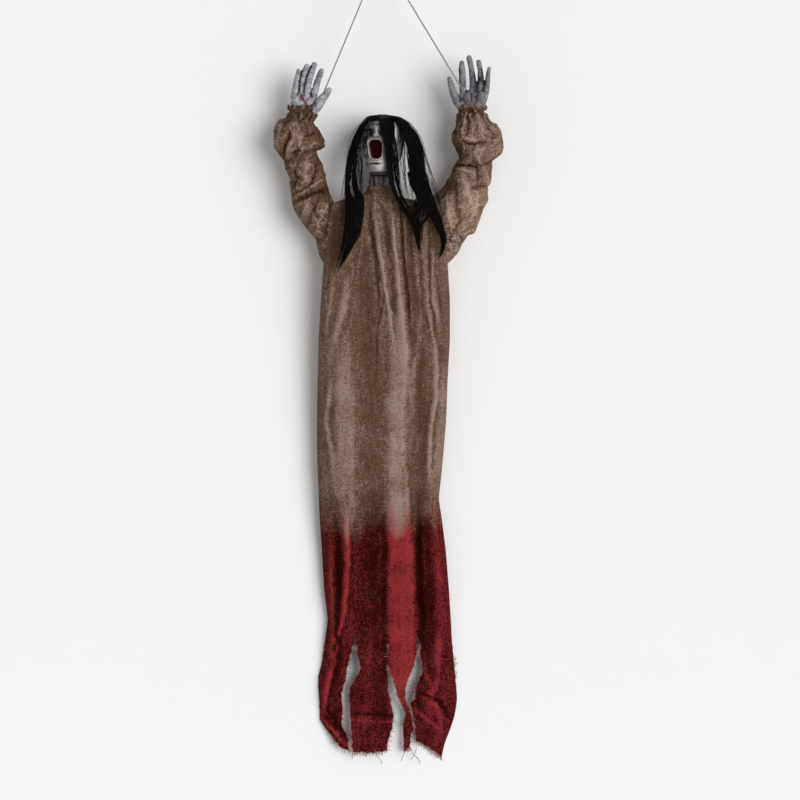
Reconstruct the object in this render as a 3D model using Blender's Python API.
"""A hanging ghost decoration: a screaming head with a long black wig, two raised
hands and a long burlap gown, dip-dyed red and torn into four strips at the hem.

The hands are tied to one cord, which hangs over a small ring on a ceiling hook.
The origin is the centre of the ceiling plate's top face. The figure faces -Y,
+X is to the viewer's right, +Z is up, and all sizes are in metres.
"""

import math

import bmesh
import bpy
from mathutils import Matrix, Vector

for leftover in list(bpy.data.objects):
    bpy.data.objects.remove(leftover, do_unlink=True)

# Sizes that the whole figure shares
GAP = 0.0003
CORD_RADIUS = 0.0015
CORD_FALL = 0.336
LEFT_REACH = 0.169
RIGHT_REACH = 0.193
ARM_DROP = 0.270
SHOULDER_DROP = 0.190
CLOTH_WALL = 0.002

# Ceiling plate, with two countersunk screw holes and a boss for the hook
PLATE_RADIUS = 0.022
PLATE_THICKNESS = 0.0035
BOSS_RADIUS = 0.0065
BOSS_HEIGHT = 0.0045
PLATE_EDGE = 0.0008
SCREW_HOLE_RADIUS = 0.0021
SCREW_HEAD_RADIUS = 0.0040
SCREW_HOLE_OFFSET = 0.0145
TURNED_SIDES = 24
BORE_SIDES = 14

# Hook: a stem that opens into three quarters of a circle
HOOK_WIRE_RADIUS = 0.00225
HOOK_BEND_RADIUS = 0.013
HOOK_STEM = 0.009
HOOK_SEAT_DEPTH = 0.0045
HOOK_SWEEP_DEGREES = 270.0
HOOK_STEPS = 18

# Hanging ring
RING_RADIUS = 0.016
RING_WIRE_RADIUS = 0.0015
RING_STEPS = 28
RING_SIDES = 8

# Loop and knot at the top of the cord
LOOP_LENGTH = 0.0145
LOOP_START_DEGREES = 200.0
LOOP_SWEEP_DEGREES = 220.0
LOOP_STEPS = 12
KNOT_RADIUS = 0.0045
KNOT_HEIGHT_SHARE = 1.1

# Wrist ties: three turns of twine round each cuff, and the knot on it
STEM_RADIUS = 0.0210
TIE_SLACK = 0.0005
TWINE_RADIUS = 0.00125
TIE_TURNS = 3
TIE_PITCH = 0.0034
TIE_POINTS_A_TURN = 24
TIE_LEAD_DEGREES = 46.0
WRIST_KNOT_RADIUS = 0.0044
LEFT_KNOT_DEGREES = 26.0
RIGHT_KNOT_DEGREES = -74.0

# Hands
STEM_BELOW = 0.040
PALM_HALF_WIDTH = 0.0275
PALM_HALF_THICKNESS = 0.0125
PALM_TOP = 0.047
FINGER_RADIUS = 0.0060
FINGER_CURL = 0.010
HAND_SIDES = 20
FINGER_SIDES = 8

# Wire frame from hand to hand
WIRE_RADIUS = 0.0020
WIRE_STEPS = 44
WIRE_RISE_SHARE = 0.14

# Sleeves and the stuffing inside them
SLEEVE_HALF_WIDTH = 0.048
SLEEVE_HALF_DEPTH = 0.040
SLEEVE_SIDES = 14
STUFFING_SHARE = 0.80
STUFFING_EASE = 0.0045

# Gown
GOWN_LENGTH = 1.192
GOWN_HALF_WIDTH = 0.140
GOWN_FRONT_DEPTH = 0.048
GOWN_BACK_DEPTH = 0.044
SEAM_HALF_GAP = 0.0002
COLLAR_EASE = 0.0008

# Chest stuffing
CHEST_HALF_WIDTH = 0.076
CHEST_HALF_DEPTH = 0.034
CHEST_TOP_DROP = 0.015
CHEST_HEIGHT = 0.145
CHEST_SIDES = 16

# Neck post, the plug that turns on it, and the neck of the head
NECK_X = -0.004
NECK_RADIUS = 0.0215
POST_RADIUS = 0.005
POST_COLLAR_RADIUS = 0.009
POST_COLLAR_HEIGHT = 0.003
POST_TOP_ABOVE_PLUG = 0.006
POST_FOOT_DROP = 0.063
PLUG_HEIGHT = 0.022

# Head
HEAD_HEIGHT = 0.1586
HEAD_HALF_WIDTH = 0.046
HEAD_HALF_DEPTH = 0.054
HEAD_WALL = 0.003
NECK_FOOT_RISE = 0.0228

# Wig
WIG_THICKNESS = 0.004
WIG_LIFT = 0.0008
FRINGE_LIFT = 0.0019
LOCK_THICKNESS = 0.0045

HOOK_CENTRE_Z = -PLATE_THICKNESS - BOSS_HEIGHT - HOOK_STEM - HOOK_BEND_RADIUS
HOOK_SEAT_Z = HOOK_CENTRE_Z - HOOK_BEND_RADIUS
RING_TOP_Z = HOOK_SEAT_Z + HOOK_WIRE_RADIUS + GAP + RING_WIRE_RADIUS
RING_CENTRE_Z = RING_TOP_Z - RING_RADIUS
RING_FOOT_Z = RING_CENTRE_Z - RING_RADIUS
KNOT_Z = RING_FOOT_Z - LOOP_LENGTH
WRIST_Z = KNOT_Z - CORD_FALL
SHOULDER_Z = WRIST_Z - SHOULDER_DROP
NECK_FOOT_Z = SHOULDER_Z + NECK_FOOT_RISE
HEAD_TOP_Z = NECK_FOOT_Z + HEAD_HEIGHT


def material(name, colour, roughness, metallic=0.0):
    """A plain Principled material."""
    made = bpy.data.materials.new(name)
    made.use_nodes = True
    shader = made.node_tree.nodes["Principled BSDF"]
    shader.inputs["Base Color"].default_value = (*colour, 1.0)
    shader.inputs["Roughness"].default_value = roughness
    shader.inputs["Metallic"].default_value = metallic
    return made


def pivot(name, place, parent=None):
    """An empty on a joint's axis, which carries the pieces that move with it."""
    empty = bpy.data.objects.new(name, None)
    empty.location = place
    bpy.context.scene.collection.objects.link(empty)
    if parent:
        empty.parent = parent
        empty.location = Vector(place) - parent.matrix_world.translation
    bpy.context.view_layer.update()
    return empty


def place(name, data, surface, carrier=None):
    """An object whose points are world places, carried by an empty."""
    made = bpy.data.objects.new(name, data)
    data.materials.append(surface)
    bpy.context.scene.collection.objects.link(made)
    if carrier:
        made.parent = carrier
        made.matrix_parent_inverse = carrier.matrix_world.inverted()
    return made


def mesh_of(name, points, faces):
    """A mesh whose normals face out, shaded smooth but for its sharp edges."""
    data = bpy.data.meshes.new(name)
    data.from_pydata([tuple(point) for point in points], [], faces)
    edit = bmesh.new()
    edit.from_mesh(data)
    bmesh.ops.remove_doubles(edit, verts=edit.verts, dist=GAP / 100)
    bmesh.ops.recalc_face_normals(edit, faces=edit.faces)
    edit.to_mesh(data)
    edit.free()
    data.shade_smooth()
    data.set_sharp_from_angle(angle=math.radians(50))
    return data


def band(first, second, count):
    """The faces between two rings, given by the index of their first points."""
    return [
        (first + i, first + (i + 1) % count, second + (i + 1) % count, second + i)
        for i in range(count)
    ]


def loft(name, rings):
    """A closed solid through rings of points, with a flat face at each end."""
    count = len(rings[0])
    points = [point for ring in rings for point in ring]
    faces = [tuple(range(count))[::-1], tuple(range(len(points) - count, len(points)))]
    for i in range(len(rings) - 1):
        faces += band(i * count, (i + 1) * count, count)
    return mesh_of(name, points, faces)


def sleeve_shell(name, outer, inner):
    """A tube with a wall, open at both ends."""
    count = len(outer[0])
    points = [point for ring in outer + inner for point in ring]
    faces = []
    for i in range(len(outer) - 1):
        faces += band(i * count, (i + 1) * count, count)
        faces += band((i + 1 + len(outer)) * count, (i + len(outer)) * count, count)
    faces += band(len(outer) * count, 0, count)
    last = len(outer) - 1
    faces += band(last * count, (last + len(outer)) * count, count)
    return mesh_of(name, points, faces)


def plate_between(name, outer, inner):
    """A closed solid between two grids of points that face each other."""
    rows, columns = len(outer), len(outer[0])
    points = [point for grid in (outer, inner) for row in grid for point in row]
    half = rows * columns
    faces = []
    for r in range(rows - 1):
        for c in range(columns - 1):
            corner = r * columns + c
            faces.append((corner, corner + 1, corner + columns + 1, corner + columns))
            faces.append(tuple(half + i for i in faces[-1][::-1]))
    rim = list(range(columns))
    rim += [(r + 1) * columns - 1 for r in range(1, rows)]
    rim += [(rows - 1) * columns + c for c in range(columns - 2, -1, -1)]
    rim += [r * columns for r in range(rows - 2, 0, -1)]
    for i, start in enumerate(rim):
        end = rim[(i + 1) % len(rim)]
        faces.append((start, half + start, half + end, end))
    return mesh_of(name, points, faces)


def turned(name, profile, centre, sides=TURNED_SIDES):
    """A solid of revolution about a vertical axis, from (radius, height) pairs."""
    rings = []
    for radius, height in profile:
        ring = []
        for i in range(sides):
            angle = math.tau * i / sides
            ring.append(
                Vector((radius * math.cos(angle), radius * math.sin(angle), height))
                + Vector(centre)
            )
        rings.append(ring)
    return loft(name, rings)


def ellipsoid(name, centre, radius, height_share, segments=12, rings=8):
    """A lump such as a knot."""
    data = bpy.data.meshes.new(name)
    edit = bmesh.new()
    bmesh.ops.create_uvsphere(edit, u_segments=segments, v_segments=rings, radius=radius)
    squash = Matrix.Diagonal((1, 1, height_share, 1))
    bmesh.ops.transform(edit, matrix=Matrix.Translation(centre) @ squash, verts=edit.verts)
    edit.to_mesh(data)
    edit.free()
    data.shade_smooth()
    return data


def tube(name, points, radius, resolution):
    """A round tube along points, with filled ends."""
    data = bpy.data.curves.new(name, "CURVE")
    data.dimensions = "3D"
    data.bevel_depth = radius
    data.bevel_resolution = resolution
    data.use_fill_caps = True
    line = data.splines.new("POLY")
    line.points.add(len(points) - 1)
    for knot, point in zip(line.points, points):
        knot.co = (*point, 1)
    line.use_smooth = True
    return data


def tube_mesh(name, points, radius, resolution):
    """The same tube as a closed mesh, for a Boolean."""
    guide = bpy.data.objects.new(name, tube(name, points, radius, resolution))
    bpy.context.scene.collection.objects.link(guide)
    graph = bpy.context.evaluated_depsgraph_get()
    data = bpy.data.meshes.new_from_object(guide.evaluated_get(graph))
    bpy.data.objects.remove(guide, do_unlink=True)
    edit = bmesh.new()
    edit.from_mesh(data)
    bmesh.ops.remove_doubles(edit, verts=edit.verts, dist=GAP / 100)
    bmesh.ops.recalc_face_normals(edit, faces=edit.faces)
    edit.to_mesh(data)
    edit.free()
    return data


def smooth_path(route, steps):
    """Even points along a smooth curve through a route (Catmull-Rom)."""
    ends = [route[0] * 2 - route[1], *route, route[-1] * 2 - route[-2]]
    fine = []
    for i in range(1, len(ends) - 2):
        a, b, c, d = ends[i - 1 : i + 3]
        for s in range(12):
            t = s / 12
            fine.append(
                (b * 2 + (c - a) * t + (a * 2 - b * 5 + c * 4 - d) * t**2
                 + (b * 3 - a - c * 3 + d) * t**3) / 2
            )
    fine.append(route[-1])
    lengths = [0.0]
    for before, after in zip(fine, fine[1:]):
        lengths.append(lengths[-1] + (after - before).length)
    even, at = [], 0
    for s in range(steps):
        goal = lengths[-1] * s / (steps - 1)
        while at < len(fine) - 2 and lengths[at + 1] < goal:
            at += 1
        part = (goal - lengths[at]) / max(lengths[at + 1] - lengths[at], GAP / 1000)
        even.append(fine[at].lerp(fine[at + 1], min(part, 1.0)))
    return even


def combine(target, other, operation):
    """Cuts other from target, or joins it on, and hides it."""
    step = target.modifiers.new(other.name, "BOOLEAN")
    step.operation = operation
    step.object = other
    other.hide_render = True
    other.display_type = "WIRE"


def eased(table, at):
    """The values of a share table between its rows, whose first column is the place."""
    if at <= table[0][0]:
        return table[0][1:]
    for before, after in zip(table, table[1:]):
        if at <= after[0]:
            part = (at - before[0]) / (after[0] - before[0])
            return tuple(a + (b - a) * part for a, b in zip(before[1:], after[1:]))
    return table[-1][1:]


steel = material("steel", (0.62, 0.62, 0.60), 0.35, 1.0)
white_metal = material("white_metal", (0.80, 0.80, 0.78), 0.40)
cord_grey = material("cord_grey", (0.45, 0.45, 0.44), 0.70)
twine_rust = material("twine_rust", (0.22, 0.07, 0.04), 0.85)
grey_skin = material("grey_skin", (0.38, 0.37, 0.38), 0.55)
pale_face = material("pale_face", (0.55, 0.54, 0.54), 0.50)
burlap = material("burlap", (0.20, 0.14, 0.10), 0.95)
wadding = material("wadding", (0.75, 0.74, 0.70), 0.95)
black_hair = material("black_hair", (0.012, 0.011, 0.010), 0.45)
galvanised = material("galvanised", (0.50, 0.50, 0.50), 0.45, 1.0)
grey_plastic = material("grey_plastic", (0.20, 0.20, 0.20), 0.50)

ring_pivot = pivot("ring_pivot", (0, 0, HOOK_SEAT_Z))
figure_pivot = pivot("figure_pivot", (0, 0, RING_FOOT_Z), ring_pivot)
head_pivot = pivot("head_pivot", (NECK_X, 0, NECK_FOOT_Z), figure_pivot)
left_wrist = pivot("left_wrist", (-LEFT_REACH, 0, WRIST_Z), figure_pivot)
right_wrist = pivot("right_wrist", (RIGHT_REACH, 0, WRIST_Z), figure_pivot)


# Ceiling plate
def build_plate():
    foot = -PLATE_THICKNESS - BOSS_HEIGHT
    profile = [
        (PLATE_RADIUS - PLATE_EDGE, 0),
        (PLATE_RADIUS, -PLATE_EDGE),
        (PLATE_RADIUS, -PLATE_THICKNESS + PLATE_EDGE),
        (PLATE_RADIUS - PLATE_EDGE, -PLATE_THICKNESS),
        (BOSS_RADIUS, -PLATE_THICKNESS),
        (BOSS_RADIUS, foot + PLATE_EDGE),
        (BOSS_RADIUS - PLATE_EDGE, foot),
    ]
    plate = place("ceiling_plate", turned("ceiling_plate", profile, (0, 0, 0)), white_metal)
    for side, name in ((-1, "left_screw_hole"), (1, "right_screw_hole")):
        cone_foot = SCREW_HEAD_RADIUS - SCREW_HOLE_RADIUS
        hole = [
            (SCREW_HOLE_RADIUS, GAP),
            (SCREW_HOLE_RADIUS, -PLATE_THICKNESS + cone_foot),
            (SCREW_HEAD_RADIUS + GAP, -PLATE_THICKNESS - GAP),
        ]
        centre = (side * SCREW_HOLE_OFFSET, 0, 0)
        combine(plate, place(name, turned(name, hole, centre, BORE_SIDES), steel), "DIFFERENCE")
    bore_radius = HOOK_WIRE_RADIUS + GAP
    bore = [(bore_radius, foot + HOOK_SEAT_DEPTH + GAP), (bore_radius, foot - GAP)]
    bore = turned("hook_bore", bore, (0, 0, 0), BORE_SIDES)
    combine(plate, place("hook_bore", bore, steel), "DIFFERENCE")


# Hook: the stem goes up into the boss
def build_hook():
    foot = -PLATE_THICKNESS - BOSS_HEIGHT
    route = [Vector((0, 0, foot + HOOK_SEAT_DEPTH)), Vector((0, 0, foot - HOOK_STEM / 2))]
    for i in range(HOOK_STEPS + 1):
        angle = math.radians(90 - HOOK_SWEEP_DEGREES * i / HOOK_STEPS)
        route.append(
            Vector((
                0,
                HOOK_BEND_RADIUS * math.cos(angle),
                HOOK_CENTRE_Z + HOOK_BEND_RADIUS * math.sin(angle),
            ))
        )
    place("ceiling_hook", tube("ceiling_hook", route, HOOK_WIRE_RADIUS, 2), steel)


# Ring: hangs on the hook and faces the front
def build_ring():
    points, faces = [], []
    for i in range(RING_STEPS):
        angle = math.tau * i / RING_STEPS
        for j in range(RING_SIDES):
            round_wire = math.tau * j / RING_SIDES
            reach = RING_RADIUS + RING_WIRE_RADIUS * math.cos(round_wire)
            points.append((
                reach * math.sin(angle),
                RING_WIRE_RADIUS * math.sin(round_wire),
                RING_CENTRE_Z + reach * math.cos(angle),
            ))
    for i in range(RING_STEPS):
        faces += band(i * RING_SIDES, (i + 1) % RING_STEPS * RING_SIDES, RING_SIDES)
    data = mesh_of("hanging_ring", points, faces)
    place("hanging_ring", data, steel, ring_pivot)


# Cord loop over the ring's foot, with the knot under it
def build_hanging_loop():
    bend = RING_WIRE_RADIUS + CORD_RADIUS + GAP * 2
    route = [Vector((0, -CORD_RADIUS, KNOT_Z))]
    for i in range(LOOP_STEPS + 1):
        angle = math.radians(LOOP_START_DEGREES - LOOP_SWEEP_DEGREES * i / LOOP_STEPS)
        route.append(Vector((0, bend * math.cos(angle), RING_FOOT_Z + bend * math.sin(angle))))
    route.append(Vector((0, CORD_RADIUS, KNOT_Z)))
    knot = place(
        "hanging_loop",
        ellipsoid("hanging_loop", Vector((0, 0, KNOT_Z)), KNOT_RADIUS, KNOT_HEIGHT_SHARE),
        cord_grey,
        figure_pivot,
    )
    bight = tube_mesh("loop_bight", route, CORD_RADIUS, 2)
    bight = place("loop_bight", bight, cord_grey, figure_pivot)
    combine(knot, bight, "UNION")


# Wrist knots and the two legs of the cord, pulled straight by the figure's weight
def knot_place(wrist, degrees):
    reach = tie_radius() + TWINE_RADIUS + GAP * 2 + WRIST_KNOT_RADIUS
    angle = math.radians(degrees)
    return wrist + Vector((reach * math.cos(angle), reach * math.sin(angle), 0))


def tie_radius():
    return cuff_radius() + TIE_SLACK + TWINE_RADIUS


def build_leg(side, wrist, degrees):
    knot = knot_place(wrist, degrees)
    name = f"{side}_wrist_knot"
    place(name, ellipsoid(name, knot, WRIST_KNOT_RADIUS, 1), cord_grey, figure_pivot)
    top = Vector((0, 0, KNOT_Z))
    along = (knot - top).normalized()
    start = top + along * (KNOT_RADIUS * KNOT_HEIGHT_SHARE + GAP * 2)
    end = knot - along * (WRIST_KNOT_RADIUS + GAP)
    steps = round((end - start).length / (CORD_RADIUS * 6))
    route = [start.lerp(end, i / steps) for i in range(steps + 1)]
    place(f"{side}_cord", tube(f"{side}_cord", route, CORD_RADIUS, 2), cord_grey, figure_pivot)


# Wrist ties: each is one length of twine, whose two ends meet the knot from both sides
def tie_route(wrist, degrees):
    radius = tie_radius()
    knot = knot_place(Vector((0, 0, 0)), degrees)
    tangent = Vector((-math.sin(math.radians(degrees)), math.cos(math.radians(degrees)), 0))
    turn = 360 * TIE_TURNS - 2 * TIE_LEAD_DEGREES
    steps = round(TIE_POINTS_A_TURN * turn / 360)
    middle = []
    for i in range(steps + 1):
        part = i / steps
        angle = math.radians(degrees + TIE_LEAD_DEGREES + turn * part)
        rise = TIE_PITCH * turn / 360 * (part - 1 / 2)
        middle.append(Vector((radius * math.cos(angle), radius * math.sin(angle), rise)))

    def lead(side, joint, before):
        end = knot + tangent * side * (WRIST_KNOT_RADIUS + GAP)
        straight = end + tangent * side * TWINE_RADIUS * 2
        reach = TWINE_RADIUS * 4
        onward = (joint - before).normalized() * reach
        back = tangent * side * reach
        bend = []
        for i in range(1, 5):
            t = i / 5
            bend.append(
                joint * (1 - t) ** 3 + (joint + onward) * 3 * t * (1 - t) ** 2
                + (straight + back) * 3 * t**2 * (1 - t) + straight * t**3
            )
        return [*bend, straight, end]

    first = lead(1, middle[0], middle[1])[::-1]
    last = lead(-1, middle[-1], middle[-2])
    return [wrist + point for point in first + middle + last]


def least_gap(route, radius):
    """The least gap of a winding to itself, past the stretch that bends with it."""
    apart = TIE_POINTS_A_TURN // 2
    nearest = min(
        (route[i] - route[j]).length
        for i in range(len(route))
        for j in range(i + apart, len(route))
    )
    return nearest - 2 * radius


def build_tie(side, wrist, degrees):
    route = tie_route(wrist, degrees)
    print(f"{side}_wrist_tie: least gap to itself {least_gap(route, TWINE_RADIUS):.5f} m")
    name = f"{side}_wrist_tie"
    place(name, tube(name, route, TWINE_RADIUS, 1), twine_rust, figure_pivot)


# Hands: finger rows are base side, base height, tip side, tip height, thickness, as shares
# of the palm's half width, its top and the finger's radius. The thumb side is positive.
LEFT_FINGER_SHARES = [
    ("little", -0.62, 0.70, -0.23, 2.05, 0.86),
    ("ring", -0.10, 0.78, 0.55, 2.24, 0.98),
    ("middle", 0.38, 0.80, 1.09, 2.33, 1.00),
    ("index", 0.86, 0.70, 1.56, 2.01, 0.98),
    ("thumb", 0.55, 0.44, 2.34, 1.16, 1.12),
]
RIGHT_FINGER_SHARES = [
    ("little", -1.08, 0.62, -1.45, 2.01, 0.86),
    ("ring", -0.66, 0.72, -0.70, 2.37, 0.98),
    ("middle", -0.12, 0.76, 0.04, 2.60, 1.00),
    ("index", 0.50, 0.76, 0.70, 2.33, 0.98),
    ("thumb", 0.50, 0.44, 1.75, 1.60, 1.12),
]
LEFT_PALM_LEAN_SHARE = 0.24
RIGHT_PALM_LEAN_SHARE = 0.23
# Height, half width, half thickness and lean, as shares of the palm's own sizes
PALM_SHARES = [
    (0.20, 0.80, 1.50, 0.10),
    (0.34, 0.90, 1.20, 0.35),
    (0.55, 1.05, 1.00, 1.00),
    (0.80, 1.06, 0.95, 1.00),
    (1.00, 0.86, 0.70, 1.00),
]


def oval(centre, half_width, half_depth, sides, across=Vector((1, 0, 0))):
    """A ring of points about a centre, in the plane of across and Y."""
    ring = []
    for i in range(sides):
        angle = math.tau * i / sides
        side = across * half_width * math.cos(angle)
        ring.append(centre + side + Vector((0, half_depth * math.sin(angle), 0)))
    return ring


def finger_mesh(name, base, tip, radius, curl):
    along = (tip - base).normalized()
    across = along.cross(Vector((0, 1, 0))).normalized()
    # Place along the finger, radius, and forward curl, as shares
    finger_shares = [
        (0.0, 1.05, 0.0), (0.40, 0.86, 0.05), (0.50, 0.95, 0.12), (0.60, 0.82, 0.25),
        (0.76, 0.84, 0.50), (0.90, 0.66, 0.82), (1.0, 0.25, 1.0),
    ]
    rings = []
    for place_share, radius_share, curl_share in finger_shares:
        centre = base.lerp(tip, place_share) + Vector((0, -curl * curl_share, 0))
        half = radius * radius_share
        rings.append(oval(centre, half, half, FINGER_SIDES, across))
    return loft(name, rings)


def build_hand(side, wrist, thumb_side, lean_share, fingers):
    name = f"{side}_hand"
    lean = PALM_HALF_WIDTH * lean_share
    rings = [
        oval(wrist + Vector((0, 0, -STEM_BELOW)), STEM_RADIUS, STEM_RADIUS, HAND_SIDES),
        oval(wrist + Vector((0, 0, cuff_half_height())), STEM_RADIUS, STEM_RADIUS, HAND_SIDES),
    ]
    for height, width, thickness, lean_part in PALM_SHARES:
        centre = wrist + Vector((lean * lean_part, 0, PALM_TOP * height))
        rings.append(
            oval(centre, PALM_HALF_WIDTH * width, PALM_HALF_THICKNESS * thickness, HAND_SIDES)
        )
    hand = place(name, loft(name, rings), grey_skin, wrist_empty(side))
    for finger, base_side, base_up, tip_side, tip_up, thick in fingers:
        base = wrist + Vector((thumb_side * base_side * PALM_HALF_WIDTH, 0, base_up * PALM_TOP))
        tip = wrist + Vector((thumb_side * tip_side * PALM_HALF_WIDTH, 0, tip_up * PALM_TOP))
        piece = f"{side}_{finger}"
        data = finger_mesh(piece, base, tip, FINGER_RADIUS * thick, FINGER_CURL)
        combine(hand, place(piece, data, grey_skin, wrist_empty(side)), "UNION")
    bore = f"{side}_wire_bore"
    reach = WIRE_RADIUS + GAP * 2
    top = ARM_DROP * WIRE_RISE_SHARE + GAP
    data = turned(bore, [(reach, top), (reach, -STEM_BELOW - GAP)], wrist, BORE_SIDES)
    combine(hand, place(bore, data, grey_skin, wrist_empty(side)), "DIFFERENCE")


def wrist_empty(side):
    return left_wrist if side == "left" else right_wrist


# Sleeves: rows are drop below the wrist, reach, half width and half depth, as shares of the
# arm's drop, the wrist's reach and the sleeve's own half width and half depth
LEFT_SLEEVE_SHARES = [
    (0.050, 1.00, 0.66, 0.74),
    (0.095, 1.05, 0.68, 0.84),
    (0.165, 1.03, 0.96, 1.00),
    (0.265, 1.01, 1.00, 1.00),
    (0.325, 1.01, 0.84, 0.94),
    (0.390, 0.99, 0.78, 0.90),
    (0.490, 0.95, 0.81, 0.95),
    (0.630, 0.88, 0.83, 0.98),
    (0.780, 0.785, 0.87, 0.96),
    (0.930, 0.65, 1.02, 0.82),
    (1.060, 0.49, 1.05, 0.60),
]
RIGHT_SLEEVE_SHARES = [
    (0.050, 1.01, 0.72, 0.80),
    (0.115, 1.05, 0.86, 0.95),
    (0.170, 1.03, 1.06, 1.05),
    (0.260, 1.045, 1.15, 1.10),
    (0.325, 1.05, 1.06, 1.00),
    (0.415, 0.995, 0.79, 0.88),
    (0.500, 0.975, 0.91, 0.98),
    (0.610, 0.905, 0.96, 1.02),
    (0.720, 0.855, 1.06, 1.00),
    (0.825, 0.775, 1.12, 0.90),
    (0.930, 0.64, 1.20, 0.74),
    (1.070, 0.45, 1.15, 0.52),
]
# The cuff under the tie and the frill above it: height, half width and half depth, as
# shares of the cuff's half height and its radius
LEFT_CUFF_SHARES = [(2.5, 1.34, 1.28), (1.7, 1.26, 1.15), (1, 1, 1), (-1, 1, 1)]
RIGHT_CUFF_SHARES = [(2.3, 1.36, 1.08), (1.6, 1.24, 1.05), (1, 1, 1), (-1, 1, 1)]
CUFF_ROWS = len(LEFT_CUFF_SHARES)


def cuff_half_height():
    return TIE_PITCH * TIE_TURNS / 2 + TWINE_RADIUS + GAP


def cuff_radius():
    return (STEM_RADIUS + TIE_SLACK) / math.cos(math.pi / SLEEVE_SIDES) + CLOTH_WALL


def sleeve_rings(side, shrink, first=0, last=None):
    """Rings square to the arm's centre line, shrunk from the cloth's outer face."""
    left = side == "left"
    reach = -LEFT_REACH if left else RIGHT_REACH
    rows = [
        (
            Vector((reach, 0, WRIST_Z + cuff_half_height() * height)),
            cuff_radius() * width,
            cuff_radius() * depth,
        )
        for height, width, depth in (LEFT_CUFF_SHARES if left else RIGHT_CUFF_SHARES)
    ]
    rows += [
        (
            Vector((reach * out, 0, WRIST_Z - ARM_DROP * drop)),
            SLEEVE_HALF_WIDTH * width,
            SLEEVE_HALF_DEPTH * depth,
        )
        for drop, out, width, depth in (LEFT_SLEEVE_SHARES if left else RIGHT_SLEEVE_SHARES)
    ]
    rings = []
    for i, (centre, width, depth) in enumerate(rows):
        if i <= CUFF_ROWS:
            along = Vector((0, 0, -1))
        else:
            along = (rows[min(i + 1, len(rows) - 1)][0] - rows[i - 1][0]).normalized()
        across = Vector((0, 1, 0)).cross(along).normalized()
        rings.append(oval(centre, width - shrink, depth - shrink, SLEEVE_SIDES, across))
    return rings[first:last]


# Gathered collar: rise above the shoulder as a share of the neck's rise, and flare as a
# share of the collar's radius
COLLAR_SHARES = [(1.30, 1.00), (0.75, 1.06), (0.24, 1.40)]
# Gown: rows are drop below the shoulder, centre, half width and depth, as shares of its
# length, half width and depth
GOWN_ROW_SHARES = [
    (0.0000, 0.000, 0.450, 0.730),
    (0.0030, 0.010, 0.660, 0.760),
    (0.0100, 0.030, 0.800, 0.810),
    (0.0300, 0.050, 0.880, 0.880),
    (0.0710, 0.050, 0.910, 0.960),
    (0.1110, 0.060, 0.940, 1.000),
    (0.1790, 0.070, 0.985, 1.000),
    (0.2510, 0.055, 1.000, 1.000),
    (0.3230, 0.030, 1.000, 0.980),
    (0.3940, 0.000, 0.990, 0.950),
    (0.4660, -0.010, 0.960, 0.900),
    (0.5300, -0.025, 0.915, 0.850),
    (0.5900, 0.010, 0.940, 0.800),
    (0.6600, 0.065, 0.950, 0.760),
    (0.7500, 0.120, 0.945, 0.720),
    (0.8200, 0.115, 0.990, 0.700),
    (0.8800, 0.100, 1.050, 0.680),
    (0.9300, 0.110, 1.070, 0.660),
    (1.0040, 0.110, 1.060, 0.640),
]
TRIM_ROWS = len(COLLAR_SHARES) + len(GOWN_ROW_SHARES) - 6
# Side and depth of the points across each panel, as shares of the half width and depth
FRONT_PROFILE_SHARES = [
    (-1.0, 0.0), (-1.0, 0.18), (-0.975, 0.38), (-0.90, 0.58), (-0.79, 0.74),
    (-0.67, 0.85), (-0.55, 0.91), (-0.43, 0.96), (-0.31, 0.98), (-0.19, 0.99),
    (-0.07, 1.0), (0.05, 1.0), (0.17, 0.99), (0.29, 0.98), (0.41, 0.96),
    (0.53, 0.92), (0.65, 0.86), (0.78, 0.75), (0.90, 0.58), (0.975, 0.38),
    (1.0, 0.18), (1.0, 0.0),
]
BACK_PROFILE_SHARES = [
    (1.0, 0.0), (1.0, 0.18), (0.96, 0.42), (0.84, 0.68), (0.62, 0.87), (0.38, 0.96),
    (0.12, 1.0), (-0.14, 1.0), (-0.40, 0.95), (-0.63, 0.87), (-0.84, 0.68),
    (-0.96, 0.42), (-1.0, 0.18), (-1.0, 0.0),
]
# Main folds: width and height as shares of the half width and depth, then places along
# the fold as (drop, side), as shares of the length and half width
FRONT_FOLD_SHARES = [
    (0.075, 0.17, [(0.01, -0.18), (0.16, -0.02), (0.24, 0.12)]),
    (0.075, 0.15, [(0.01, 0.10), (0.17, 0.20), (0.30, 0.32)]),
    (0.150, 0.20, [(0.28, 0.24), (0.56, 0.30), (0.88, 0.24)]),
    (0.130, 0.15, [(0.18, -0.62), (0.30, -0.80), (0.48, -0.55), (0.84, -0.62)]),
    (0.090, 0.14, [(0.06, 0.86), (0.62, 0.84)]),
    (0.120, -0.17, [(0.20, -0.20), (0.86, -0.12)]),
    (0.100, -0.15, [(0.28, 0.60), (0.86, 0.62)]),
]
BACK_FOLD_SHARES = [
    (0.16, 0.20, [(0.04, -0.30), (0.95, -0.40)]),
    (0.16, 0.20, [(0.04, 0.28), (0.95, 0.36)]),
    (0.14, -0.18, [(0.10, 0.0), (0.95, -0.02)]),
]
FOLD_FADE_SHARE = 0.03
# How fast a fold grows from the side seam, in the panel's depth
FOLD_RAMP = 1.4


def fold_height(folds, drop, side):
    """How far the folds lift the cloth there, as a share of its depth."""
    lift = 0.0
    for width, height, route in folds:
        centre = eased(route, drop)[0]
        inside = min(drop - route[0][0], route[-1][0] - drop)
        fade = max(0.0, min(1.0, 0.5 + inside / FOLD_FADE_SHARE / 2))
        lift += height * fade * math.exp(-(((side - centre) / width) ** 2))
    return lift


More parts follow.
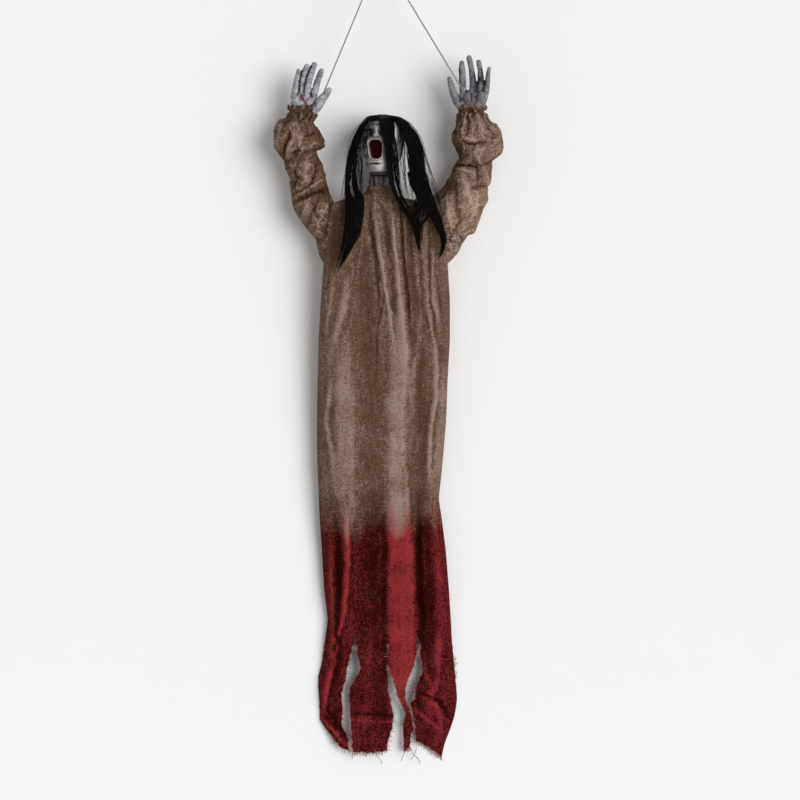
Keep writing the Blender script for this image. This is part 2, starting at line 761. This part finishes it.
def gown_rows(front):
    """Drop share, height, centre, half width and depth of each row."""
    full = GOWN_FRONT_DEPTH if front else GOWN_BACK_DEPTH
    collar = NECK_RADIUS + COLLAR_EASE + CLOTH_WALL
    rows = [
        (0.0, SHOULDER_Z + NECK_FOOT_RISE * rise, NECK_X, collar * flare, collar * flare)
        for rise, flare in COLLAR_SHARES
    ]
    rows += [
        (
            drop,
            SHOULDER_Z - GOWN_LENGTH * drop,
            GOWN_HALF_WIDTH * centre,
            GOWN_HALF_WIDTH * width,
            full * depth,
        )
        for drop, centre, width, depth in GOWN_ROW_SHARES
    ]
    return rows


def gown_line(row, profile, folds, front, grow=0):
    """The points across one panel at one row, pushed out by grow."""
    drop, height, centre, width, depth = row
    full = GOWN_FRONT_DEPTH if front else GOWN_BACK_DEPTH
    rise = grow if drop < FOLD_FADE_SHARE else 0
    line = []
    for side, share in profile:
        lift = full * fold_height(folds, drop, side) * min(1.0, share * FOLD_RAMP) if drop else 0
        reach = depth * share + lift + grow * share + SEAM_HALF_GAP
        across = centre + (width + grow) * side
        line.append(Vector((across, -reach if front else reach, height + rise)))
    return line


def gown_rings(grow):
    """The gown's outer form as closed rings, to trim the sleeves by."""
    rings = []
    for ahead, behind in zip(gown_rows(True)[:TRIM_ROWS], gown_rows(False)):
        front = gown_line(ahead, FRONT_PROFILE_SHARES, FRONT_FOLD_SHARES, True, grow)
        back = gown_line(behind, BACK_PROFILE_SHARES, BACK_FOLD_SHARES, False, grow)
        rings.append(front[1:-1] + back[1:-1])
    return rings


def build_gown_panel(name, profile, folds, front, cutters):
    lines = [gown_line(row, profile, folds, front) for row in gown_rows(front)]
    columns = len(profile)
    faces = []
    for r in range(len(lines) - 1):
        for c in range(columns - 1):
            corner = r * columns + c
            faces.append((corner + columns, corner + columns + 1, corner + 1, corner))
    data = bpy.data.meshes.new(name)
    data.from_pydata([tuple(point) for line in lines for point in line], [], faces)
    data.shade_smooth()
    panel = place(name, data, burlap, figure_pivot)
    wall = panel.modifiers.new("wall", "SOLIDIFY")
    wall.thickness = CLOTH_WALL
    wall.offset = -1
    for cutter in cutters:
        combine(panel, cutter, "DIFFERENCE")


# Torn hem: outlines as (side, drop) shares of the gown's half width and length
HEM_SHARES = [
    (-1.30, 0.927), (-0.95, 0.927), (-0.75, 0.960), (-0.55, 0.987), (-0.43, 0.989),
    (0.09, 0.990), (0.35, 0.984), (0.44, 0.984), (0.53, 0.966), (0.94, 1.000),
    (0.97, 0.979), (1.07, 0.951), (1.18, 0.920), (1.40, 0.920), (1.40, 1.100),
    (-1.30, 1.100),
]
LEFT_SLIT_SHARES = [
    (-0.39, 0.779), (-0.47, 0.824), (-0.53, 0.848), (-0.54, 0.869), (-0.61, 0.896),
    (-0.59, 0.930), (-0.61, 0.954), (-0.54, 0.977), (-0.49, 1.010), (-0.43, 1.010),
    (-0.43, 0.982), (-0.45, 0.944), (-0.47, 0.910), (-0.47, 0.876), (-0.39, 0.862),
    (-0.30, 0.841), (-0.36, 0.810),
]
MIDDLE_SLIT_SHARES = [
    (0.11, 0.843), (0.11, 0.882), (0.19, 0.934), (0.18, 0.954), (0.11, 0.987),
    (0.11, 1.010), (0.35, 1.010), (0.34, 0.954), (0.38, 0.934), (0.25, 0.903),
    (0.19, 0.869),
]
RIGHT_SLIT_SHARES = [
    (0.55, 0.786), (0.54, 0.820), (0.49, 0.848), (0.40, 0.872), (0.37, 0.903),
    (0.43, 0.916), (0.49, 0.920), (0.52, 0.913), (0.55, 0.882), (0.62, 0.865),
    (0.63, 0.841), (0.58, 0.820), (0.61, 0.800),
]


def build_cutter(name, outline):
    """A prism along Y through both panels."""
    rings = []
    for y in (-GOWN_FRONT_DEPTH * 2, GOWN_BACK_DEPTH * 2):
        rings.append([
            Vector((GOWN_HALF_WIDTH * side, y, SHOULDER_Z - GOWN_LENGTH * drop))
            for side, drop in outline
        ])
    return place(name, loft(name, rings), burlap, figure_pivot)


# Wire from hand to hand: (reach, drop) shares of the wrist's reach and the arm's drop
LEFT_WIRE_SHARES = [
    (1.0, -WIRE_RISE_SHARE), (1.0, 0.04), (1.0, 0.17), (1.0, 0.28), (0.99, 0.39), (0.94, 0.50),
    (0.87, 0.63), (0.77, 0.78), (0.58, 0.91), (0.34, 0.96),
]
RIGHT_WIRE_SHARES = [
    (1.0, -WIRE_RISE_SHARE), (1.0, 0.04), (1.0, 0.17), (1.01, 0.28), (1.0, 0.39), (0.96, 0.50),
    (0.90, 0.61), (0.80, 0.76), (0.60, 0.90), (0.34, 0.96),
]
WIRE_MIDDLE_SHARE = 0.97


def wire_route():
    left = [
        Vector((-LEFT_REACH * out, 0, WRIST_Z - ARM_DROP * drop)) for out, drop in LEFT_WIRE_SHARES
    ]
    right = [
        Vector((RIGHT_REACH * out, 0, WRIST_Z - ARM_DROP * drop)) for out, drop in RIGHT_WIRE_SHARES
    ]
    middle = Vector((0, 0, WRIST_Z - ARM_DROP * WIRE_MIDDLE_SHARE))
    return smooth_path([*left, middle, *right[::-1]], WIRE_STEPS)


# Chest stuffing: drop, half width and half depth, as shares of its own sizes
CHEST_SHARES = [
    (0.0, 0.45, 0.50), (0.10, 0.80, 0.78), (0.30, 0.98, 0.96), (0.55, 1.0, 1.0),
    (0.80, 0.88, 0.90), (0.95, 0.62, 0.66), (1.0, 0.36, 0.40),
]


def build_stuffing(route):
    channel = tube_mesh("wire_channel", route, WIRE_RADIUS + GAP * 2, 1)
    channel = place("wire_channel", channel, wadding, figure_pivot)
    for side in ("left", "right"):
        name = f"{side}_arm_stuffing"
        shrink = SLEEVE_HALF_WIDTH * (1 - STUFFING_SHARE)
        rings = sleeve_rings(side, shrink, CUFF_ROWS + 2, -1)
        top = WRIST_Z - STEM_BELOW - STUFFING_EASE
        rings[0] = [Vector((point.x, point.y, top)) for point in rings[0]]
        pad = place(name, loft(name, rings), wadding, figure_pivot)
        combine(pad, channel, "DIFFERENCE")
    chest_top = SHOULDER_Z - CHEST_TOP_DROP
    rings = [
        oval(
            Vector((0, 0, chest_top - CHEST_HEIGHT * drop)),
            CHEST_HALF_WIDTH * width,
            CHEST_HALF_DEPTH * depth,
            CHEST_SIDES,
        )
        for drop, width, depth in CHEST_SHARES
    ]
    chest = place("chest_stuffing", loft("chest_stuffing", rings), wadding, figure_pivot)
    combine(chest, channel, "DIFFERENCE")
    seat_radius = POST_RADIUS + GAP
    seat = [
        (seat_radius, SHOULDER_Z),
        (seat_radius, SHOULDER_Z - POST_FOOT_DROP + POST_RADIUS - GAP),
    ]
    bore = turned("post_seat", seat, (NECK_X, 0, 0), BORE_SIDES)
    combine(chest, place("post_seat", bore, wadding, figure_pivot), "DIFFERENCE")


def build_post_and_plug():
    foot = SHOULDER_Z - POST_FOOT_DROP + POST_RADIUS
    plug_foot = NECK_FOOT_Z + GAP
    plug_top = plug_foot + PLUG_HEIGHT
    collar_top = plug_foot - GAP
    profile = [
        (POST_RADIUS, plug_top + POST_TOP_ABOVE_PLUG),
        (POST_RADIUS, collar_top),
        (POST_COLLAR_RADIUS, collar_top),
        (POST_COLLAR_RADIUS, collar_top - POST_COLLAR_HEIGHT),
        (POST_RADIUS, collar_top - POST_COLLAR_HEIGHT),
        (POST_RADIUS, foot),
    ]
    post = turned("neck_post", profile, (NECK_X, 0, 0), BORE_SIDES)
    place("neck_post", post, grey_plastic, figure_pivot)
    plug_radius = NECK_RADIUS - HEAD_WALL - GAP * 2
    outside = [(plug_radius, plug_top), (plug_radius, plug_foot)]
    outside = turned("neck_plug", outside, (NECK_X, 0, 0))
    plug = place("neck_plug", outside, grey_plastic, head_pivot)
    bore_radius = POST_RADIUS + GAP
    inside = [(bore_radius, plug_top + GAP), (bore_radius, plug_foot - GAP)]
    inside = turned("plug_bore", inside, (NECK_X, 0, 0), BORE_SIDES)
    combine(plug, place("plug_bore", inside, grey_plastic, head_pivot), "DIFFERENCE")


NECK_WIDTH_SHARE = NECK_RADIUS / HEAD_HALF_WIDTH
NECK_DEPTH_SHARE = NECK_RADIUS / HEAD_HALF_DEPTH
# Head: rows are drop from the crown, half width, front depth, back depth and how far the
# ring's centre has moved from the neck to the head, as shares of the head's sizes
HEAD_ROW_SHARES = [
    (0.000, 0.12, 0.10, 0.10, 1.0),
    (0.014, 0.40, 0.34, 0.36, 1.0),
    (0.045, 0.64, 0.56, 0.58, 1.0),
    (0.100, 0.84, 0.78, 0.78, 1.0),
    (0.103, 0.8455, 0.786, 0.7855, 1.0),
    (0.155, 0.94, 0.89, 0.88, 1.0),
    (0.205, 0.985, 0.94, 0.93, 1.0),
    (0.255, 1.00, 0.97, 0.96, 1.0),
    (0.310, 1.00, 0.99, 0.97, 1.0),
    (0.360, 0.985, 1.00, 0.96, 1.0),
    (0.470, 0.93, 1.02, 0.90, 1.0),
    (0.570, 0.85, 1.02, 0.76, 0.95),
    (0.620, 0.79, 1.02, 0.68, 0.85),
    (0.690, 0.69, 1.00, 0.56, 0.70),
    (0.745, 0.59, 0.94, 0.47, 0.50),
    (0.785, 0.51, 0.72, 0.42, 0.25),
    (0.815, NECK_WIDTH_SHARE, NECK_DEPTH_SHARE, NECK_DEPTH_SHARE, 0.0),
    (1.000, NECK_WIDTH_SHARE, NECK_DEPTH_SHARE, NECK_DEPTH_SHARE, 0.0),
]
HEAD_SHIFT = 0.007
FACE_DEGREES = -17.0
FACE_COLUMN_DEGREES = [
    -90, -72, -56, -45, -39, -33, -25, -17, -9, -1, 5, 11, 20, 31, 46, 66, 90,
]
BACK_COLUMN_DEGREES = [90, 110, 130, 150, 170, 190, 210, 230, 250, 270]
# Features: degrees off the face's middle, drop, half width in degrees, half height, and
# how far out, as shares of the head's height and half depth
FEATURE_SHARES = [
    ("nose", 0, 0.275, 7.0, 0.045, 0.14),
    ("brow", 0, 0.175, 26.0, 0.030, 0.05),
    ("left_socket", -18, 0.235, 9.0, 0.035, -0.12),
    ("right_socket", 18, 0.235, 9.0, 0.035, -0.12),
    ("chin", 0, 0.725, 20.0, 0.060, 0.05),
    ("left_cheek", -40, 0.46, 12.0, 0.120, -0.05),
    ("right_cheek", 42, 0.46, 12.0, 0.120, -0.05),
]
MOUTH_DROP_SHARE = 0.475
MOUTH_HALF_DEGREES = 21.0
MOUTH_HALF_HEIGHT_SHARE = 0.125
MOUTH_DEPTH_SHARE = 0.30


def head_feature(degrees, drop):
    """How far the face stands out there, as a share of the head's half depth."""
    out = 0.0
    for _, side, middle, half_width, half_height, height in FEATURE_SHARES:
        across = (degrees - FACE_DEGREES - side) / half_width
        along = (drop - middle) / half_height
        out += height * math.exp(-across**2 - along**2)
    across = (degrees - FACE_DEGREES) / MOUTH_HALF_DEGREES
    along = (drop - MOUTH_DROP_SHARE) / MOUTH_HALF_HEIGHT_SHARE
    if across**4 + along**4 < 1:
        out -= MOUTH_DEPTH_SHARE * (1 - across**4 - along**4) ** 0.5
    return out


def head_point(degrees, row, inward=0.0, features=True):
    drop, width, front, back, shift = row
    angle = math.radians(degrees)
    forward = front if abs(degrees) <= 90 else back
    out = head_feature(degrees, drop) if features and abs(degrees) < 90 else 0.0
    flat = Vector((
        HEAD_HALF_WIDTH * width * math.sin(angle),
        -HEAD_HALF_DEPTH * forward * math.cos(angle),
        0,
    ))
    length = flat.length
    flat *= (length + HEAD_HALF_DEPTH * out - inward) / length
    centre = Vector((NECK_X + HEAD_SHIFT * shift, 0, HEAD_TOP_Z - HEAD_HEIGHT * drop))
    return centre + flat


def head_lift(degrees, index, rows, height):
    """A point at a height above the head's plain form, along its normal."""
    row = rows[index]
    step = 1.0
    here = head_point(degrees, row, features=False)
    side = head_point(degrees + step, row, features=False) - head_point(
        degrees - step, row, features=False
    )
    above = head_point(degrees, rows[max(index - 1, 0)], features=False)
    below = head_point(degrees, rows[min(index + 1, len(rows) - 1)], features=False)
    normal = side.cross(below - above).normalized()
    outward = here - Vector((NECK_X, 0, HEAD_TOP_Z - HEAD_HEIGHT / 2))
    if normal.dot(outward) < 0:
        normal.negate()
    return here + normal * height


def build_head_half(name, columns, front):
    shift = Vector((0, -SEAM_HALF_GAP if front else SEAM_HALF_GAP, 0))
    outer, inner = [], []
    for row in HEAD_ROW_SHARES:
        wall = min(HEAD_WALL, HEAD_HALF_WIDTH * row[1] * 0.5)
        outer.append([head_point(degrees, row) + shift for degrees in columns])
        inner.append([head_point(degrees, row, wall) + shift for degrees in columns])
    data = plate_between(name, outer, inner)
    place(name, data, pale_face, head_pivot)


# Wig: a cap over the crown, a skirt of hair round the sides and back, and a fringe
CAP_ROWS = 4
SKIRT_FIRST_ROW = 4
SKIRT_LAST_ROW = 13
FRINGE_LAST_ROW = 9
SKIRT_COLUMN_DEGREES = [66, 90, 110, 130, 150, 170, 190, 210, 230, 250, 270, 288]
FRINGE_COLUMN_DEGREES = [-3, 7, 17, 28, 40]


def wig_grid(columns, first, last, height):
    return [
        [head_lift(degrees, i, HEAD_ROW_SHARES, height) for degrees in columns]
        for i in range(first, last)
    ]


def build_wig():
    around = FACE_COLUMN_DEGREES[:-1] + BACK_COLUMN_DEGREES[:-1]
    low, high = WIG_LIFT, WIG_LIFT + WIG_THICKNESS
    outer = wig_grid(around, 0, CAP_ROWS, high)
    inner = wig_grid(around, 0, CAP_ROWS, low)
    crown = Vector((NECK_X + HEAD_SHIFT, 0, HEAD_TOP_Z))
    count = len(around)
    rings = inner[::-1] + outer
    # The bowl: up the inside, closed at the crown, then down the outside
    points = [point for ring in rings for point in ring]
    faces = []
    for i in range(CAP_ROWS - 1):
        faces += band(i * count, (i + 1) * count, count)
        faces += band((i + CAP_ROWS) * count, (i + CAP_ROWS + 1) * count, count)
    faces += band((2 * CAP_ROWS - 1) * count, 0, count)
    for height, start in ((low, CAP_ROWS - 1), (high, CAP_ROWS)):
        points.append(crown + Vector((0, 0, height)))
        tip = len(points) - 1
        faces += [(start * count + i, start * count + (i + 1) % count, tip) for i in range(count)]
    place("wig_cap", mesh_of("wig_cap", points, faces), black_hair, head_pivot)
    for name, columns, last, lift in (
        ("wig_skirt", SKIRT_COLUMN_DEGREES, SKIRT_LAST_ROW, WIG_LIFT),
        ("wig_fringe", FRINGE_COLUMN_DEGREES, FRINGE_LAST_ROW, FRINGE_LIFT),
    ):
        outside = wig_grid(columns, SKIRT_FIRST_ROW, last, lift + WIG_THICKNESS)
        inside = wig_grid(columns, SKIRT_FIRST_ROW, last, lift)
        data = plate_between(name, outside, inside)
        place(name, data, black_hair, head_pivot)


# Locks that hang from the wig: (side, forward, drop, half width) shares of the head's half
# width, its half depth, its height, and its half width, from the crown and the neck's axis
LOCK_SHARES = {
    "left_lock": [
        (-1.035, 0.0, 0.21, 0.09), (-1.13, 0.20, 0.36, 0.11), (-1.22, 0.36, 0.55, 0.15),
        (-1.23, 0.50, 0.76, 0.23), (-1.25, 0.70, 0.97, 0.28), (-1.15, 0.93, 1.13, 0.38),
        (-1.14, 1.04, 1.38, 0.40), (-1.38, 1.08, 1.66, 0.26), (-1.71, 1.08, 1.92, 0.16),
        (-2.10, 1.00, 2.17, 0.05),
    ],
    "right_lock": [
        (1.293, 0.0, 0.14, 0.10), (1.50, 0.02, 0.24, 0.16), (1.60, 0.16, 0.36, 0.28),
        (1.71, 0.34, 0.58, 0.34),
        (1.88, 0.56, 0.84, 0.35), (2.07, 0.82, 1.08, 0.41), (2.30, 0.98, 1.24, 0.40),
        (2.58, 1.02, 1.44, 0.33), (2.95, 1.02, 1.70, 0.21), (2.90, 0.98, 1.86, 0.14),
        (2.72, 0.94, 1.96, 0.04),
    ],
    "right_strand": [
        (0.46, 1.09, 0.314, 0.10), (0.47, 1.13, 0.50, 0.15), (0.50, 1.14, 0.75, 0.16),
        (0.62, 1.14, 0.93, 0.14), (0.90, 1.13, 1.16, 0.13), (1.18, 1.12, 1.38, 0.13),
        (1.50, 1.12, 1.48, 0.12), (1.72, 1.12, 1.70, 0.08), (1.90, 1.10, 1.88, 0.03),
    ],
    "back_hair": [
        (0.0, -0.961, 0.55, 0.58), (0.0, -0.97, 0.70, 0.60), (0.0, -0.96, 0.84, 0.62),
        (0.0, -0.96, 1.10, 0.66),
        (0.0, -1.04, 1.34, 0.68), (0.0, -1.06, 1.58, 0.56), (0.0, -1.06, 1.76, 0.20),
    ],
}


def build_locks():
    for name, rows in LOCK_SHARES.items():
        rings = []
        for side, forward, drop, half in rows:
            centre = Vector((
                NECK_X + HEAD_HALF_WIDTH * side,
                -HEAD_HALF_DEPTH * forward,
                HEAD_TOP_Z - HEAD_HEIGHT * drop,
            ))
            width = HEAD_HALF_WIDTH * half
            rings.append(oval(centre, width, min(LOCK_THICKNESS, width), 10))
        place(name, loft(name, rings), black_hair, head_pivot)


def build():
    left = Vector((-LEFT_REACH, 0, WRIST_Z))
    right = Vector((RIGHT_REACH, 0, WRIST_Z))
    build_plate()
    build_hook()
    build_ring()
    build_hanging_loop()
    for side, wrist, degrees in (
        ("left", left, LEFT_KNOT_DEGREES),
        ("right", right, RIGHT_KNOT_DEGREES),
    ):
        build_leg(side, wrist, degrees)
        build_tie(side, wrist, degrees)
    build_hand("left", left, 1, LEFT_PALM_LEAN_SHARE, LEFT_FINGER_SHARES)
    build_hand("right", right, -1, RIGHT_PALM_LEAN_SHARE, RIGHT_FINGER_SHARES)

    route = wire_route()
    place("arm_wire", tube("arm_wire", route, WIRE_RADIUS, 1), galvanised, figure_pivot)
    build_stuffing(route)
    build_post_and_plug()

    gown_form = loft("gown_form", gown_rings(GAP * 2))
    gown_form = place("gown_form", gown_form, burlap, figure_pivot)
    armholes = []
    for side in ("left", "right"):
        name = f"{side}_sleeve"
        outer = sleeve_rings(side, 0)
        inner = sleeve_rings(side, CLOTH_WALL)
        sleeve = place(name, sleeve_shell(name, outer, inner), burlap, figure_pivot)
        combine(sleeve, gown_form, "DIFFERENCE")
        hole = f"{side}_armhole"
        armholes.append(place(hole, loft(hole, inner), burlap, figure_pivot))
    cutters = [
        build_cutter("left_slit", LEFT_SLIT_SHARES),
        build_cutter("middle_slit", MIDDLE_SLIT_SHARES),
        build_cutter("right_slit", RIGHT_SLIT_SHARES),
        build_cutter("hem_cut", HEM_SHARES),
    ]
    cutters = armholes + cutters
    build_gown_panel("gown_front", FRONT_PROFILE_SHARES, FRONT_FOLD_SHARES, True, cutters)
    build_gown_panel("gown_back", BACK_PROFILE_SHARES, BACK_FOLD_SHARES, False, cutters)

    build_head_half("face_shell", FACE_COLUMN_DEGREES, True)
    build_head_half("head_back_shell", BACK_COLUMN_DEGREES, False)
    build_wig()
    build_locks()


build()
